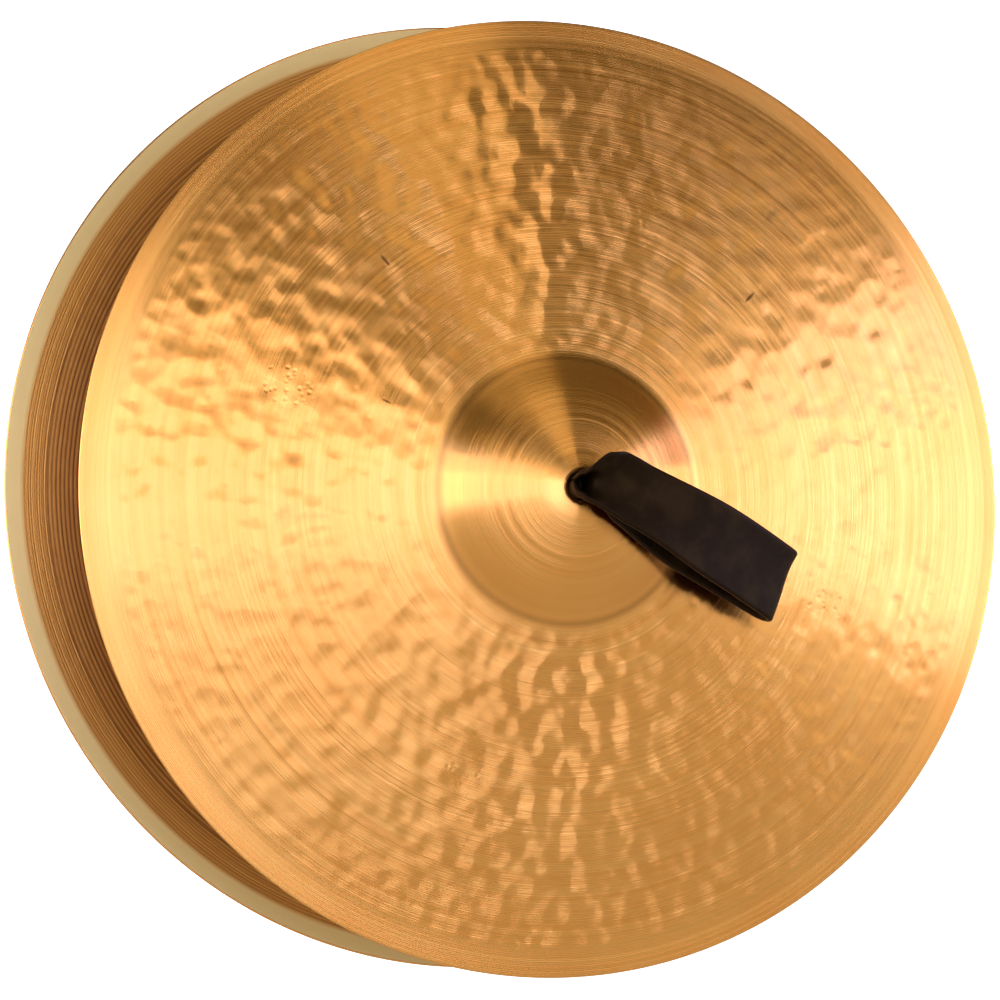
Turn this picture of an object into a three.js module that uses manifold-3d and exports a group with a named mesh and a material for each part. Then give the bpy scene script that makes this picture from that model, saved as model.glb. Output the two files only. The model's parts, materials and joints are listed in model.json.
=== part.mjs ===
// A pair of hand cymbals, held face to face as a player holds them just before a clash.
// Each cymbal is a thin bronze plate with a leather strap: the strap's wide middle is folded
// into a hand loop, its narrow neck goes in at the bell's hole, and its two ends, each split
// in two, are woven into a square knot of four thongs inside the bell.
import * as THREE from "three";
import { mergeVertices } from "three/addons/utils/BufferGeometryUtils.js";
import Module from "manifold-3d";

const wasm = await Module();
wasm.setup();

// Driving dimensions, in millimetres and degrees. A cymbal is drawn in a frame of its own: +Y
// runs out of the bell along the cymbal's axis, Y = 0 is the plane of the rim, and +X is the
// way the strap lies.
const PLATE_RADIUS = 215.9;
const BELL_RADIUS = 59.5;
const HOLE_RADIUS = 6.35;
const BOW_RISE = 28;
const BELL_RISE = 24;
const BOW_SLOPE_SHARE = 0.585; // the share of the bow's fall that is an even slope
const RIM_WALL = 1.0;
const CROWN_WALL = 1.8;
const RIM_LAND = 2.5; // the flat ring round the rim that a cymbal laid down rests on

const STRAP_WIDTH = 32;
const LEATHER = 3;
const STRAP_SIDESTEP = -7.2; // the strap's middle line passes beside the hole's centre
const FIT_GAP = 0.3;
const STEM_RADIUS = 5.8;

const THONG_WIDTH = 6;
const THONG_OFFSET = 5.5; // from the knot's centre to a thong's middle line
const THONG_TAIL = 24;

const RIM_GAP = 60;
const PAIR_SHIFT = 20; // the front cymbal stands this far off the rear one's axis
const PAIR_SHIFT_DROP = 17.5; // degrees below +X
const STRAP_DROP = 25.1; // degrees below +X

const ROUND_SEGMENTS = 64;
const BELL_STEPS = 5;
const BOW_STEPS = 7;
const LOOP_STEPS = 36;
const THONG_STEPS = 26;
const STEM_SIDES = 24;

// Worked out from the sizes above.
const BELL_SPHERE = (BELL_RADIUS ** 2 + BELL_RISE ** 2) / (2 * BELL_RISE);
const APEX = RIM_WALL + BOW_RISE + BELL_RISE;
const BELL_CEILING = APEX - CROWN_WALL; // the inner face at the hole

// The neck's side view: a knuckle round the point where the leather bends as the loop tilts.
const HINGE = new THREE.Vector2(12, APEX + 7);
const KNUCKLE_RADIUS = 8;
const KNUCKLE_TURN = { from: 110, to: -35 }; // degrees
const NECK_FOOT = APEX + 1.3; // clear of the bell's crown
const NECK_SHOULDER = APEX + 5.5;
const NECK_BROW = new THREE.Vector2(HINGE.x - 2.7, HINGE.y + 7.5);
const NECK_BROW_HANDLE = new THREE.Vector2(1 - STEM_RADIUS, HINGE.y + 5);
const STEM_FOOT = BELL_CEILING - 1.2;
const STEM_TOP = APEX + 4;

// The hand loop's side view: an upper and a lower layer, and the tight fold that joins them.
// Each layer is a curve whose two handles are given from its own ends.
const LOOP_START = HINGE.x + KNUCKLE_RADIUS + FIT_GAP;
const UPPER_START = new THREE.Vector2(LOOP_START, HINGE.y + 4.5);
const LOWER_END = new THREE.Vector2(LOOP_START, HINGE.y - 2.5);
const FOLD = { x: 102.6, y: 37.6, radius: 4.6, from: 68, to: -100 }; // its turn is in degrees
const UPPER_HANDLES = [new THREE.Vector2(28, 1.5), new THREE.Vector2(-28, 14)];
const LOWER_HANDLES = [new THREE.Vector2(-24, 4.2), new THREE.Vector2(22, -15.5)];

// The knot: three layers of thong, one below the other, under the bell's ceiling.
const THONG_LAY = LEATHER + FIT_GAP;
const THONG_SPREAD = BELL_CEILING - 3.1;
const THONG_HIGH = THONG_SPREAD - THONG_LAY;
const THONG_LOW = THONG_HIGH - THONG_LAY;
const THONG_REACH = THONG_OFFSET + THONG_WIDTH / 2 + 1;
const TAIL_HANDLE = THONG_REACH + 7;
const TAIL_DROOP = THONG_LAY - 0.5;

const bronze = new THREE.MeshStandardMaterial({ color: 0xd9a05b, roughness: 0.3, metalness: 1 });
const leather = new THREE.MeshStandardMaterial({ color: 0x1c1411, roughness: 0.55, metalness: 0 });

/** Closed geometry to a manifold-3d solid. */
function toSolid(geometry) {
  const bare = geometry.clone();
  bare.deleteAttribute("normal");
  bare.deleteAttribute("uv");
  const merged = mergeVertices(bare, 1e-4);
  return new wasm.Manifold(
    new wasm.Mesh({
      numProp: 3,
      vertProperties: merged.attributes.position.array,
      triVerts: new Uint32Array(merged.index.array),
    }),
  );
}

/** A manifold-3d solid back to geometry. */
function toGeometry(solid) {
  const mesh = solid.getMesh();
  const geometry = new THREE.BufferGeometry();
  geometry.setAttribute("position", new THREE.BufferAttribute(mesh.vertProperties, 3));
  geometry.setIndex(new THREE.BufferAttribute(mesh.triVerts, 1));
  geometry.computeVertexNormals();
  return geometry;
}

/** Height of the plate's outer face above the rim plane. */
function outerHeight(radius) {
  if (radius < BELL_RADIUS) {
    return APEX - BELL_SPHERE + Math.sqrt(BELL_SPHERE ** 2 - radius ** 2);
  }
  const out = (radius - BELL_RADIUS) / (PLATE_RADIUS - BELL_RADIUS);
  const fall = BOW_SLOPE_SHARE * out + (1 - BOW_SLOPE_SHARE) * out ** 2;
  return RIM_WALL + BOW_RISE * (1 - fall);
}

/** The plate's wall, thickest at the crown of the bell and thinnest at the rim. */
function wallAt(radius) {
  return THREE.MathUtils.lerp(CROWN_WALL, RIM_WALL, radius / PLATE_RADIUS);
}

/** Evenly spaced radii from one radius to another, both ends included. */
function radiiBetween(from, to, steps) {
  return Array.from({ length: steps + 1 }, (_, i) => THREE.MathUtils.lerp(from, to, i / steps));
}

/** The bronze plate: bell, bow and rim in one turned wall, with a flat land round the rim. */
function plateGeometry() {
  const landStart = PLATE_RADIUS - RIM_LAND;
  const bell = radiiBetween(HOLE_RADIUS, BELL_RADIUS, BELL_STEPS);
  const outer = [...bell, ...radiiBetween(BELL_RADIUS, PLATE_RADIUS, BOW_STEPS).slice(1)];
  const inner = [...bell, ...radiiBetween(BELL_RADIUS, landStart - RIM_WALL, BOW_STEPS).slice(1)];
  const profile = [
    ...outer.map((r) => new THREE.Vector2(r, outerHeight(r))),
    new THREE.Vector2(PLATE_RADIUS, 0),
    new THREE.Vector2(landStart, 0),
    ...inner.reverse().map((r) => new THREE.Vector2(r, outerHeight(r) - wallAt(r))),
  ].reverse();
  profile.push(profile[0].clone());
  return new THREE.LatheGeometry(profile, ROUND_SEGMENTS);
}

/** A flat strip of leather bent along a path in the XY plane and centred on a value of Z. */
function bentStrip(path, width, centre, steps) {
  const above = [];
  const below = [];
  for (let i = 0; i <= steps; i++) {
    const point = path.getPoint(i / steps);
    const along = path.getTangent(i / steps);
    const across = new THREE.Vector2(-along.y, along.x).multiplyScalar(LEATHER / 2);
    above.push(point.clone().add(across));
    below.unshift(point.clone().sub(across));
  }
  const outline = new THREE.Shape([...above, ...below]);
  const strip = new THREE.ExtrudeGeometry(outline, { depth: width, bevelEnabled: false });
  return strip.translate(0, 0, centre - width / 2);
}

/** The hand loop: out over the bell, round a tight fold and back beneath, closer to the bell. */
function loopGeometry() {
  const turns = [FOLD.from, FOLD.to].map(THREE.MathUtils.degToRad);
  const [upperEnd, lowerStart] = turns.map(
    (turn) =>
      new THREE.Vector2(
        FOLD.x + FOLD.radius * Math.cos(turn),
        FOLD.y + FOLD.radius * Math.sin(turn),
      ),
  );
  const layer = (path, from, handles, to) => {
    const [first, second] = [from.clone().add(handles[0]), to.clone().add(handles[1])];
    path.bezierCurveTo(first.x, first.y, second.x, second.y, to.x, to.y);
  };
  const path = new THREE.Path();
  path.moveTo(UPPER_START.x, UPPER_START.y);
  layer(path, UPPER_START, UPPER_HANDLES, upperEnd);
  path.absarc(FOLD.x, FOLD.y, FOLD.radius, turns[0], turns[1], true);
  layer(path, lowerStart, LOWER_HANDLES, LOWER_END);
  return bentStrip(path, STRAP_WIDTH, STRAP_SIDESTEP, LOOP_STEPS);
}

/** The neck: the strap narrows, turns over a knuckle and goes in at the hole as a round stem. */
function neckGeometry() {
  const side = new THREE.Shape();
  side.moveTo(-STEM_RADIUS, NECK_FOOT);
  side.lineTo(-STEM_RADIUS, NECK_SHOULDER);
  side.quadraticCurveTo(NECK_BROW_HANDLE.x, NECK_BROW_HANDLE.y, NECK_BROW.x, NECK_BROW.y);
  side.absarc(
    HINGE.x, HINGE.y, KNUCKLE_RADIUS,
    THREE.MathUtils.degToRad(KNUCKLE_TURN.from), THREE.MathUtils.degToRad(KNUCKLE_TURN.to), true,
  );
  side.lineTo(STEM_RADIUS, NECK_FOOT);
  // Both blocks are cut deeper than the strap is wide, so that only their outlines meet.
  const deep = { depth: 3 * STRAP_WIDTH, bevelEnabled: false };
  const wedge = new THREE.ExtrudeGeometry(side, deep).translate(0, 0, -deep.depth / 2);

  const wide = HINGE.x + KNUCKLE_RADIUS;
  const plan = new THREE.Shape();
  plan.moveTo(-STEM_RADIUS, -STEM_RADIUS);
  plan.lineTo(wide, STRAP_SIDESTEP - STRAP_WIDTH / 2);
  plan.lineTo(wide, STRAP_SIDESTEP + STRAP_WIDTH / 2);
  plan.lineTo(-STEM_RADIUS, STEM_RADIUS);
  // The turn takes the plan's Y to Z, so the taper widens on the side of the strap's sidestep.
  const taper = new THREE.ExtrudeGeometry(plan, deep).rotateX(Math.PI / 2);
  taper.translate(0, APEX + 2 * STRAP_WIDTH, 0);

  const height = STEM_TOP - STEM_FOOT;
  const stem = new THREE.CylinderGeometry(STEM_RADIUS, STEM_RADIUS, height, STEM_SIDES);
  stem.translate(0, STEM_FOOT + height / 2, 0);
  return toGeometry(toSolid(wedge).intersect(toSolid(taper)).add(toSolid(stem)));
}

/** One thong of the knot: out from the stem, back under the weave, and over into a free tail. */
function thongGeometry() {
  const gap = THONG_OFFSET - THONG_WIDTH / 2;
  const path = new THREE.Path();
  path.moveTo(-1, THONG_SPREAD);
  path.lineTo(-THONG_REACH, THONG_SPREAD);
  path.absarc(-THONG_REACH, THONG_HIGH, THONG_LAY, Math.PI / 2, 1.5 * Math.PI, false);
  path.lineTo(-gap, THONG_LOW);
  path.bezierCurveTo(-gap / 4, THONG_LOW, gap / 4, THONG_HIGH, gap, THONG_HIGH);
  path.lineTo(THONG_REACH, THONG_HIGH);
  path.quadraticCurveTo(TAIL_HANDLE, THONG_HIGH, THONG_TAIL, THONG_HIGH - TAIL_DROOP);
  return bentStrip(path, THONG_WIDTH, THONG_OFFSET, THONG_STEPS);
}

/** One cymbal with its strap, in its own frame. */
function cymbal(side) {
  const group = new THREE.Group();
  const add = (name, geometry, material) => {
    const mesh = new THREE.Mesh(geometry, material);
    mesh.name = `${side}_${name}`;
    group.add(mesh);
    return mesh;
  };
  add("cymbal_plate", plateGeometry(), bronze);
  add("strap_hand_loop", loopGeometry(), leather);
  add("strap_neck", neckGeometry(), leather);
  for (let k = 0; k < 4; k++) {
    add(`knot_thong_${k + 1}`, thongGeometry(), leather).rotation.y = (k * Math.PI) / 2;
  }
  return group;
}

/** Stands a cymbal on edge with its bell towards -Y and its strap lying down to the right. */
function facingFront(group) {
  const drop = THREE.MathUtils.degToRad(STRAP_DROP);
  const shift = THREE.MathUtils.degToRad(PAIR_SHIFT_DROP);
  const strapWay = new THREE.Vector3(Math.cos(drop), 0, -Math.sin(drop));
  const bellWay = new THREE.Vector3(0, -1, 0);
  const across = new THREE.Vector3().crossVectors(strapWay, bellWay);
  const turned = new THREE.Matrix4().makeBasis(strapWay, bellWay, across);
  group.setRotationFromMatrix(turned);
  group.position.set(Math.cos(shift), 0, -Math.sin(shift)).multiplyScalar(PAIR_SHIFT / 2);
  group.position.y = -RIM_GAP / 2;
  return group;
}

// The rear cymbal is the front one turned half round about a line through the pair's middle,
// square to the way the two are shifted, so that the two insides face each other.
const frontHalf = facingFront(cymbal("front"));
const rearHalf = new THREE.Group().add(facingFront(cymbal("rear")));
const shiftDrop = THREE.MathUtils.degToRad(PAIR_SHIFT_DROP);
const turningLine = new THREE.Vector3(Math.sin(shiftDrop), 0, Math.cos(shiftDrop));
rearHalf.quaternion.setFromAxisAngle(turningLine, Math.PI);

const pair = new THREE.Group();
pair.add(frontHalf, rearHalf);

export default pair;
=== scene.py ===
"""A pair of bronze hand cymbals with leather straps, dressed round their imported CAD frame.

Each cymbal is drawn in a frame of its own: Y runs out of the bell along the axis, Y = 0 is the
plane of the rim, and X is the way the strap lies. Everything is in metres.
"""

import json
import logging
import math
from dataclasses import dataclass, field
from enum import Enum
from typing import Callable, Mapping, Optional, Sequence, Union

import bpy
import numpy as np
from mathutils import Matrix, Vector


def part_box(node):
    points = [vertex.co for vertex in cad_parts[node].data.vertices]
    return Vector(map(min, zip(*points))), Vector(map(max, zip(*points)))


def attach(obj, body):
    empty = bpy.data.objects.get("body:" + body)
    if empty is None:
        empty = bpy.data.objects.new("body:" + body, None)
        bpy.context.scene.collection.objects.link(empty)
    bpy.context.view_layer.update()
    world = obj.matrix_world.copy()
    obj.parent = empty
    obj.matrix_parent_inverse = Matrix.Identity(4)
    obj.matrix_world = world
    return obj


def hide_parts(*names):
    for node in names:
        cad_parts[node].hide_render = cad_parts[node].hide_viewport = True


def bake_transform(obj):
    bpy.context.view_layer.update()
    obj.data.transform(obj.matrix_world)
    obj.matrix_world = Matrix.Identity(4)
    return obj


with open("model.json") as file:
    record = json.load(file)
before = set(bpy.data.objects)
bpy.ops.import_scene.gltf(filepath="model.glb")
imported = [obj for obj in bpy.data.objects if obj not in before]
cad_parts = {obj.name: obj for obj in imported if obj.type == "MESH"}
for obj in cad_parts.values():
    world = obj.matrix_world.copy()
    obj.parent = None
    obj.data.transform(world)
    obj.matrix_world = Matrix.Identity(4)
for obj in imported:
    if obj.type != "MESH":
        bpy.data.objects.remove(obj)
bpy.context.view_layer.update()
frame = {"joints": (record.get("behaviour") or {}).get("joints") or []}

MM = 0.001

log = logging.getLogger("hand_cymbals")

Number = Union[int, float]
Feed = Union["Wire", Number, Sequence[float], bpy.types.Material]
Key = Union[int, str]


# --------------------------------------------------------------------------- node toolkit


class Wire:
    """One output socket, which takes part in Python sums: each operator adds a Math node."""

    def __init__(self, graph: "Graph", socket: bpy.types.NodeSocket) -> None:
        """Keeps the socket and the graph that it belongs to."""
        self.graph = graph
        self.socket = socket

    def output(self, key: Key) -> "Wire":
        """Another output of the same node."""
        return Wire(self.graph, self.socket.node.outputs[key])

    def __add__(self, other: "Term") -> "Wire":
        """self + other."""
        return self.graph.math("ADD", self, other)

    def __radd__(self, other: "Term") -> "Wire":
        """other + self."""
        return self.graph.math("ADD", other, self)

    def __sub__(self, other: "Term") -> "Wire":
        """self - other."""
        return self.graph.math("SUBTRACT", self, other)

    def __rsub__(self, other: "Term") -> "Wire":
        """other - self."""
        return self.graph.math("SUBTRACT", other, self)

    def __mul__(self, other: "Term") -> "Wire":
        """self * other."""
        return self.graph.math("MULTIPLY", self, other)

    def __rmul__(self, other: "Term") -> "Wire":
        """other * self."""
        return self.graph.math("MULTIPLY", other, self)

    def __truediv__(self, other: "Term") -> "Wire":
        """self / other."""
        return self.graph.math("DIVIDE", self, other)

    def __rtruediv__(self, other: "Term") -> "Wire":
        """other / self."""
        return self.graph.math("DIVIDE", other, self)

    def __pow__(self, other: "Term") -> "Wire":
        """self to the power of other."""
        return self.graph.math("POWER", self, other)

    def __neg__(self) -> "Wire":
        """Minus self."""
        return self.graph.math("MULTIPLY", self, -1.0)

    def __abs__(self) -> "Wire":
        """self without its sign."""
        return self.graph.math("ABSOLUTE", self)

    def sine(self) -> "Wire":
        """The sine of self, in radians."""
        return self.graph.math("SINE", self)

    def cosine(self) -> "Wire":
        """The cosine of self, in radians."""
        return self.graph.math("COSINE", self)

    def root(self) -> "Wire":
        """The square root of self."""
        return self.graph.math("SQRT", self)

    def most(self, other: "Term") -> "Wire":
        """The larger of self and other."""
        return self.graph.math("MAXIMUM", self, other)

    def least(self, other: "Term") -> "Wire":
        """The smaller of self and other."""
        return self.graph.math("MINIMUM", self, other)

    def clamped(self) -> "Wire":
        """self held between 0 and 1."""
        return self.most(0.0).least(1.0)

    def step(self, start: Number, end: Number) -> "Wire":
        """0 before start and 1 after end, with a smooth rise between them.

        Args:
            start: The value at which the rise begins.
            end: The value at which it ends; an end below start gives a fall instead.

        Returns:
            The eased value.
        """
        along = ((self - start) / (end - start)).clamped()
        return along * along * (3.0 - 2.0 * along)


Term = Union[Wire, Number]


class Graph:
    """A node tree, of a material or of Geometry Nodes, that is filled from Python expressions."""

    def __init__(self, tree: bpy.types.NodeTree) -> None:
        """Keeps the tree."""
        self.tree = tree

    def node(
        self,
        kind: str,
        settings: Optional[Mapping[str, object]] = None,
        sockets: Optional[Mapping[Key, Feed]] = None,
    ) -> Optional[Wire]:
        """Adds one node.

        Args:
            kind: The node's type, such as ShaderNodeTexNoise.
            settings: The node's own properties, set before its sockets.
            sockets: A value or a wire for each input socket, by name or number.

        Returns:
            The node's first output, or None where it has none.
        """
        made = self.tree.nodes.new(kind)
        for name, value in (settings or {}).items():
            setattr(made, name, value)
        for key, value in (sockets or {}).items():
            if isinstance(value, Wire):
                self.tree.links.new(value.socket, made.inputs[key])
            else:
                made.inputs[key].default_value = value
        return Wire(self, made.outputs[0]) if len(made.outputs) else None

    def math(self, operation: str, *terms: Term) -> Wire:
        """One Math node on up to three terms."""
        return self.node("ShaderNodeMath", {"operation": operation}, dict(enumerate(terms)))

    def vector(self, operation: str, *terms: Feed) -> Wire:
        """One Vector Math node on up to two vectors."""
        return self.node("ShaderNodeVectorMath", {"operation": operation}, dict(enumerate(terms)))

    def scaled(self, vector: Feed, factor: Term) -> Wire:
        """A vector times a number.

        Args:
            vector: The vector.
            factor: The number.

        Returns:
            The longer or shorter vector.
        """
        return self.node(
            "ShaderNodeVectorMath", {"operation": "SCALE"}, {"Vector": vector, "Scale": factor}
        )

    def combined(self, x: Term, y: Term, z: Term) -> Wire:
        """Three numbers as a vector."""
        return self.node("ShaderNodeCombineXYZ", None, {"X": x, "Y": y, "Z": z})

    def separated(self, vector: Feed) -> tuple[Wire, Wire, Wire]:
        """A vector as three numbers."""
        x = self.node("ShaderNodeSeparateXYZ", None, {"Vector": vector})
        return x, x.output("Y"), x.output("Z")

    def blended(self, factor: Term, first: Feed, second: Feed) -> Wire:
        """A colour between two colours."""
        settings = {"data_type": "RGBA", "clamp_factor": True}
        return self.node("ShaderNodeMix", settings, {0: factor, 6: first, 7: second}).output(2)

    def line_noise(self, place: Term, scale: Number, detail: Number = 1.0) -> Wire:
        """Soft noise along one number.

        Args:
            place: The number.
            scale: How many blobs there are to a metre.
            detail: How many finer layers are added.

        Returns:
            The noise, from 0 to 1.
        """
        return self.node(
            "ShaderNodeTexNoise",
            {"noise_dimensions": "1D"},
            {"W": place, "Scale": scale, "Detail": detail},
        )

    def noise(self, place: Feed, scale: Number, detail: Number = 2.0) -> Wire:
        """Soft noise in space.

        Args:
            place: The place.
            scale: How many blobs there are to a unit of length.
            detail: How many finer layers are added.

        Returns:
            The noise, from 0 to 1.
        """
        return self.node(
            "ShaderNodeTexNoise", None, {"Vector": place, "Scale": scale, "Detail": detail}
        )

    def cells(self, place: Feed, scale: Number, smoothness: Number = 0.0) -> Wire:
        """Cells round a scatter of points.

        Args:
            place: The place.
            scale: How many cells there are to a unit of length.
            smoothness: How softly neighbouring cells run together.

        Returns:
            The distance to the nearest point, in cells.
        """
        shape = {"feature": "SMOOTH_F1" if smoothness else "F1"}
        sockets = {"Vector": place, "Scale": scale}
        if smoothness:
            sockets["Smoothness"] = smoothness
        return self.node("ShaderNodeTexVoronoi", shape, sockets)


def surface_material(name: str) -> tuple[bpy.types.Material, Graph]:
    """An empty node material.

    Args:
        name: The material's name.

    Returns:
        The material and its graph.
    """
    material = bpy.data.materials.new(name)
    material.use_nodes = True
    material.node_tree.nodes.clear()
    return material, Graph(material.node_tree)


# --------------------------------------------------------------------------- placement


class Side(Enum):
    """The two cymbals, named by where they stand."""

    FRONT = "front"
    REAR = "rear"


@dataclass(frozen=True)
class Placement:
    """Where one cymbal's own frame lies."""

    origin: Vector
    strap_way: Vector
    bell_way: Vector
    across: Vector

    @classmethod
    def of(cls, side: Side) -> "Placement":
        """Reads one cymbal's place from the frame's joints and from its plate's box.

        Args:
            side: Which cymbal.

        Returns:
            The placement: its origin is on the axis, in the plane of the rim.
        """
        joints = {joint["name"]: joint for joint in frame["joints"]}
        swivel = joints[f"{side.value}_plate_swivel"]
        tilt = joints[f"{side.value}_loop_tilt"]
        bell_way = Vector(swivel["axis"]).normalized()
        across = Vector(tilt["axis"]).normalized()
        low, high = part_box(f"{side.value}_cymbal_plate")
        rim = low.y if bell_way.y > 0 else high.y
        on_axis = Vector(swivel["pos_m"])
        return cls(
            origin=Vector((on_axis.x, rim, on_axis.z)),
            strap_way=bell_way.cross(across),
            bell_way=bell_way,
            across=across,
        )

    def point(self, x: float, y: float, z: float = 0.0) -> Vector:
        """A point of the cymbal's own frame, as a point of the pair's frame."""
        return self.origin + x * self.strap_way + y * self.bell_way + z * self.across

    def points(self, local: np.ndarray) -> np.ndarray:
        """Rows of points of the cymbal's own frame, as rows of points of the pair's frame."""
        basis = np.array([self.strap_way, self.bell_way, self.across])
        return np.array(self.origin) + local @ basis


# --------------------------------------------------------------------------- finishes


@dataclass(frozen=True)
class BronzeFinish:
    """Cymbal bronze, hammered and then turned on a lathe.

    The turning marks are far too fine to see one by one. They tilt the surface in and out along
    each radius, which draws every light out into a pair of wings across the plate.
    """

    bright: tuple = (0.97, 0.470, 0.118, 1.0)
    deep: tuple = (0.86, 0.335, 0.064, 1.0)
    # dark colour for the real nicks, and also for the painted shade in the bell's crease, in the
    # inner grooves and further in on the inner face
    stain_and_shade: tuple = (0.20, 0.075, 0.022, 1.0)
    pale_rim_and_highlight: tuple = (1.0, 0.74, 0.27, 1.0)  # the smooth band round the inside of the rim, paler partly as a painted highlight
    fresh: tuple = (0.98, 0.49, 0.095, 1.0)  # the inside, where the metal has been handled least
    inside_haze: float = 0.40  # how far the inner face, never buffed, falls short of bare metal
    roughness: float = 0.13
    turning_slope: float = 0.17
    turning_pitches: tuple = (0.093 * MM, 0.137 * MM, 0.211 * MM)
    smooth_rim_from: float = 205 * MM
    bell_edge: float = 59.5 * MM
    crown_edge: float = 17 * MM
    rim_band: tuple = (206 * MM, 209 * MM)  # where the inner face's grooves give way
    inner_groove_pitch: float = 1.45 * MM
    inner_wave_pitch: float = 1.05 * MM
    nick_stretch: float = 11.0
    ding_ring: float = 133 * MM
    ding_turn: float = -19.4  # degrees from the pair's X to the first cluster of dings
    ding_size: float = 3.2 * MM

    def material(self, name: str, place: Placement) -> bpy.types.Material:
        """The finish for one plate.

        Args:
            name: The material's name.
            place: The plate's placement, which centres the turning marks on its axis.

        Returns:
            The material.
        """
        material, graph = surface_material(name)
        centred = graph.node(
            "ShaderNodeMapping",
            {"vector_type": "POINT"},
            {
                "Vector": graph.node("ShaderNodeTexCoord").output("Object"),
                "Location": tuple(-place.origin),
            },
        )
        x, _, z = graph.separated(centred)
        radius = (x * x + z * z).root()
        inside = graph.node("ShaderNodeAttribute", {"attribute_name": "inside"}).output("Fac")
        valley = graph.node("ShaderNodeAttribute", {"attribute_name": "valley"}).output("Fac")
        flat = graph.combined(x, 0.0, z)
        outward = graph.node(
            "ShaderNodeVectorTransform",
            {"vector_type": "NORMAL", "convert_from": "OBJECT", "convert_to": "WORLD"},
            {"Vector": graph.vector("NORMALIZE", flat)},
        )
        slope = self._turning(radius, inside) + self._grooves(graph, radius, inside)
        dented = graph.node(
            "ShaderNodeBump",
            None,
            {"Strength": 1.0, "Distance": 1.0, "Height": self._dents(graph, flat, radius, x, z)},
        )
        normal = graph.vector(
            "NORMALIZE", graph.vector("ADD", dented, graph.scaled(outward, slope))
        )
        shader = graph.node(
            "ShaderNodeBsdfPrincipled",
            None,
            {
                "Base Color": self._colour(graph, centred, flat, radius, inside, valley),
                "Metallic": 1.0 - inside * (self.inside_haze + 0.25 * radius.step(*self.rim_band)),
                "Roughness": self._roughness(graph, centred, radius) + 0.12 * inside,
                "Normal": normal,
            },
        )
        graph.node("ShaderNodeOutputMaterial", None, {"Surface": shader})
        return material

    def _turning(self, radius: Wire, inside: Wire) -> Wire:
        """The finest turning marks: waves along the radius that never fall in step.

        Args:
            radius: The distance from the axis.
            inside: 1 on the inner face and 0 on the outer.

        Returns:
            Their tilt along the radius.
        """
        waves = [(radius * (2 * math.pi / pitch)).sine() for pitch in self.turning_pitches]
        total = waves[0] + waves[1] + waves[2]
        polished = radius.step(self.crown_edge + 2 * MM, self.crown_edge - 2 * MM)
        return total * self.turning_slope * (1.0 - 0.6 * polished + 0.45 * inside)

    def _grooves(self, graph: Graph, radius: Wire, inside: Wire) -> Wire:
        """The grooves that can be seen, which come in bands.

        Args:
            graph: The material's graph.
            radius: The distance from the axis.
            inside: 1 on the inner face and 0 on the outer.

        Returns:
            Their tilt along the radius.
        """
        fine = graph.line_noise(radius, 1 / (0.55 * MM), 1.0) - 0.5
        broad = graph.line_noise(radius, 1 / (2.4 * MM), 2.0) - 0.5
        bands = graph.line_noise(radius + 3.7, 1 / (9 * MM), 1.0)
        on_bow = radius.step(self.bell_edge, self.bell_edge + 6 * MM)
        before_rim = radius.step(self.smooth_rim_from + 2 * MM, self.smooth_rim_from)
        on_bell_side = radius.step(26 * MM, 30 * MM) * radius.step(56 * MM, 48 * MM)
        strength = 0.40 + 0.60 * on_bow * before_rim + 1.0 * on_bell_side
        inner_ring = radius.step(195 * MM, 197 * MM) * radius.step(208 * MM, 206 * MM) * inside
        ring_wave = (radius * (2 * math.pi / self.inner_wave_pitch)).sine() * inner_ring * 0.22
        return (fine * (0.15 + 0.75 * bands) * 0.5 + broad * 0.24) * strength + ring_wave

    def _ding_patch(self, x: Wire, z: Wire) -> Wire:
        """The four patches of small round dings, a quarter turn apart.

        Args:
            x: The place along the pair's X, from the axis.
            z: The place along the pair's Z, from the axis.

        Returns:
            1 in a patch and 0 outside.
        """
        turn = math.radians(self.ding_turn)
        along = abs(x * math.cos(turn) + z * math.sin(turn))
        aside = abs(z * math.cos(turn) - x * math.sin(turn))
        out, off = along.most(aside) - self.ding_ring, along.least(aside)
        return (out * out * 0.8 + off * off * 1.6).root().step(12 * MM, 10 * MM)

    def _dents(self, graph: Graph, flat: Wire, radius: Wire, x: Wire, z: Wire) -> Wire:
        """The smaller hammer marks, and the clusters of round dings.

        Args:
            graph: The material's graph.
            flat: The place without its height.
            radius: The distance from the axis.
            x: The place along the pair's X, from the axis.
            z: The place along the pair's Z, from the axis.

        Returns:
            Their height, in metres.
        """
        mottled = graph.cells(flat, 1 / (9 * MM), 0.5)
        soft = graph.noise(flat, 1 / (10 * MM), 1.0)
        worked = radius.step(self.bell_edge + 1 * MM, self.bell_edge + 9 * MM)
        before_rim = radius.step(self.smooth_rim_from, self.smooth_rim_from - 6 * MM)
        bowls = (graph.cells(flat, 1 / self.ding_size).least(0.42) - 0.42) * self._ding_patch(x, z)
        return (mottled * 0.30 * MM + soft * 0.16 * MM) * worked * before_rim + bowls * 0.2 * MM

    def _colour(
        self,
        graph: Graph,
        place: Wire,
        flat: Wire,
        radius: Wire,
        inside: Wire,
        valley: Wire,
    ) -> Wire:
        """The metal's colour: deeper in some bands, with a few short dark nicks, a rim band inside
        that is paler partly as a painted highlight, and painted shade in the bell's crease, in the
        inner grooves and further in on the inner face.

        Args:
            graph: The material's graph.
            place: The place, measured from the middle of the rim.
            flat: The same place without its height.
            radius: The distance from the axis.
            inside: 1 on the inner face and 0 on the outer.
            valley: 1 at the bottom of a coarse groove.

        Returns:
            The colour.
        """
        band = graph.line_noise(radius, 1 / (5 * MM), 2.0)
        cloud = graph.noise(place, 1 / (60 * MM), 3.0)
        outer = graph.blended(
            (band * 0.7 + cloud * 0.9 - 0.35).clamped(), self.bright, self.deep
        )
        on_rim = radius.step(*self.rim_band)
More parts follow.
